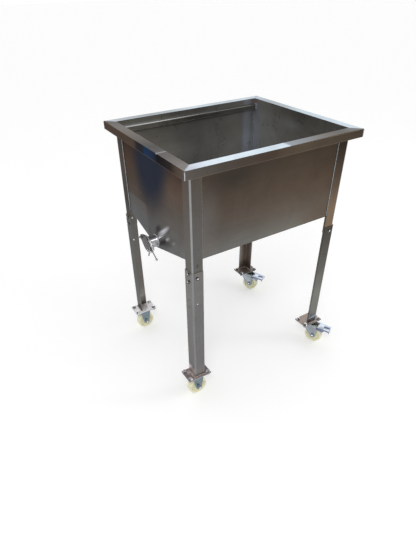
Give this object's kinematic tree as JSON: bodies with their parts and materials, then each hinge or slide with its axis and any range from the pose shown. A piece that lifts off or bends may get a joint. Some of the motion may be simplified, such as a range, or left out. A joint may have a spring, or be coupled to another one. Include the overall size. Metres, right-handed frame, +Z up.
{
  "type": "uncapping tank",
  "caption": "Open steel tank with a folded V bottom, frame rails, a strainer and a swing drain gate, on bolted angle legs with fixed and braked swivel castors.",
  "frame": {"origin": "on the floor, in the middle of the whole outline seen from above; the middle of the tank lies 24.8 mm towards +Y of it", "axes": "+Z up, X along the tank with the outlet facing -X, +Y towards the rear long wall"},
  "size_m": [0.6954, 0.5996, 0.899],
  "materials": {
    "stainless_sheet": "satin sheet",
    "stainless_angle": "dull mill finish",
    "leg_plate": "dull mill finish",
    "castor_zinc": "bright zinc plate",
    "fasteners": "bright",
    "nylon": "satin",
    "silicone": "matt"
  },
  "bodies": {
    "tank": {"front_wall": "stainless_sheet", "rear_wall": "stainless_sheet", "outlet_wall": "stainless_sheet", "end_wall": "stainless_sheet", "trough_bottom": "stainless_sheet", "rim_front": "stainless_sheet", "rim_rear": "stainless_sheet", "rim_left": "stainless_sheet", "rim_right": "stainless_sheet", "rail_front": "stainless_sheet", "rail_rear": "stainless_sheet", "upper_leg_front_left": "stainless_angle", "upper_leg_rear_left": "stainless_angle", "upper_leg_front_right": "stainless_angle", "upper_leg_rear_right": "stainless_angle", "lower_leg_front_left": "stainless_angle", "lower_leg_rear_left": "stainless_angle", "lower_leg_front_right": "stainless_angle", "lower_leg_rear_right": "stainless_angle", "leg_plate_front_left": "leg_plate", "leg_plate_rear_left": "leg_plate", "leg_plate_front_right": "leg_plate", "leg_plate_rear_right": "leg_plate", "leg_fasteners": "fasteners", "castor_fasteners": "fasteners", "fixed_fork_front_left": "castor_zinc", "fixed_fork_rear_left": "castor_zinc", "swivel_plate_front_right": "castor_zinc", "swivel_plate_rear_right": "castor_zinc", "swivel_kingpins": "castor_zinc", "swivel_balls": "castor_zinc", "sleeve_front_left": "castor_zinc", "sleeve_rear_left": "castor_zinc", "axle_front_left": "castor_zinc", "axle_rear_left": "castor_zinc", "outlet_pipe": "stainless_sheet", "gate_flange": "stainless_sheet", "gate_gasket": "silicone", "gate_pivot": "fasteners", "gate_stud": "fasteners"},
    "gate_flap": {"gate_flap": "stainless_sheet"},
    "clamp": {"clamp_washer": "fasteners"},
    "wing": {"wing_nut": "fasteners"},
    "strainer": {"strainer": "stainless_sheet", "strainer_feet": "stainless_sheet", "strainer_handles": "stainless_sheet"},
    "wheel_fl": {"wheel_front_left": "nylon"},
    "wheel_rl": {"wheel_rear_left": "nylon"},
    "swivel_fr": {"swivel_fork_front_right": "castor_zinc", "sleeve_front_right": "castor_zinc", "axle_front_right": "castor_zinc", "brake_pin_front_right": "castor_zinc"},
    "wheel_fr": {"wheel_front_right": "nylon"},
    "pedal_fr": {"brake_pedal_front_right": "castor_zinc"},
    "swivel_rr": {"swivel_fork_rear_right": "castor_zinc", "sleeve_rear_right": "castor_zinc", "axle_rear_right": "castor_zinc", "brake_pin_rear_right": "castor_zinc"},
    "wheel_rr": {"wheel_rear_right": "nylon"},
    "pedal_rr": {"brake_pedal_rear_right": "castor_zinc"}
  },
  "joints": [
    {"name": "gate_swing", "type": "hinge", "parent": "tank", "child": "gate_flap", "pos_m": [-0.32969, 0.05975, 0.56771], "axis": [-1, 0, 0], "range_deg": [0, 110]},
    {"name": "clamp_slide", "type": "slide", "parent": "tank", "child": "clamp", "axis": [-1, 0, 0], "range_m": [0, 0.003]},
    {"name": "wing_nut_turn", "type": "hinge", "parent": "clamp", "child": "wing", "pos_m": [-0.32969, -0.01011, 0.55029], "axis": [-1, 0, 0], "range_deg": [0, 1080]},
    {"name": "strainer_lift", "type": "slide", "parent": "tank", "child": "strainer", "axis": [0, 0, 1], "range_m": [0, 0.36]},
    {"name": "wheel_fl_roll", "type": "hinge", "parent": "tank", "child": "wheel_fl", "pos_m": [-0.28059, -0.20193, 0.036], "axis": [0, 1, 0], "continuous": true},
    {"name": "wheel_rl_roll", "type": "hinge", "parent": "tank", "child": "wheel_rl", "pos_m": [-0.28059, 0.25157, 0.036], "axis": [0, 1, 0], "continuous": true},
    {"name": "swivel_fr_turn", "type": "hinge", "parent": "tank", "child": "swivel_fr", "pos_m": [0.28041, -0.20193, 0.099], "axis": [0, 0, 1], "continuous": true},
    {"name": "wheel_fr_roll", "type": "hinge", "parent": "swivel_fr", "child": "wheel_fr", "pos_m": [0.29641, -0.2308, 0.036], "axis": [0.8746, 0.4848, 0], "continuous": true},
    {"name": "pedal_fr_press", "type": "hinge", "parent": "swivel_fr", "child": "pedal_fr", "pos_m": [0.30465, -0.24566, 0.078], "axis": [0.8746, 0.4848, 0], "range_deg": [0, 9]},
    {"name": "swivel_rr_turn", "type": "hinge", "parent": "tank", "child": "swivel_rr", "pos_m": [0.28041, 0.25157, 0.099], "axis": [0, 0, 1], "continuous": true},
    {"name": "wheel_rr_roll", "type": "hinge", "parent": "swivel_rr", "child": "wheel_rr", "pos_m": [0.29641, 0.2227, 0.036], "axis": [0.8746, 0.4848, 0], "continuous": true},
    {"name": "pedal_rr_press", "type": "hinge", "parent": "swivel_rr", "child": "pedal_rr", "pos_m": [0.30465, 0.20784, 0.078], "axis": [0.8746, 0.4848, 0], "range_deg": [0, 9]}
  ],
  "couplings": [
    {"joint": "clamp_slide", "follows": "wing_nut_turn", "m_per_rad": 0.00015915}
  ]
}
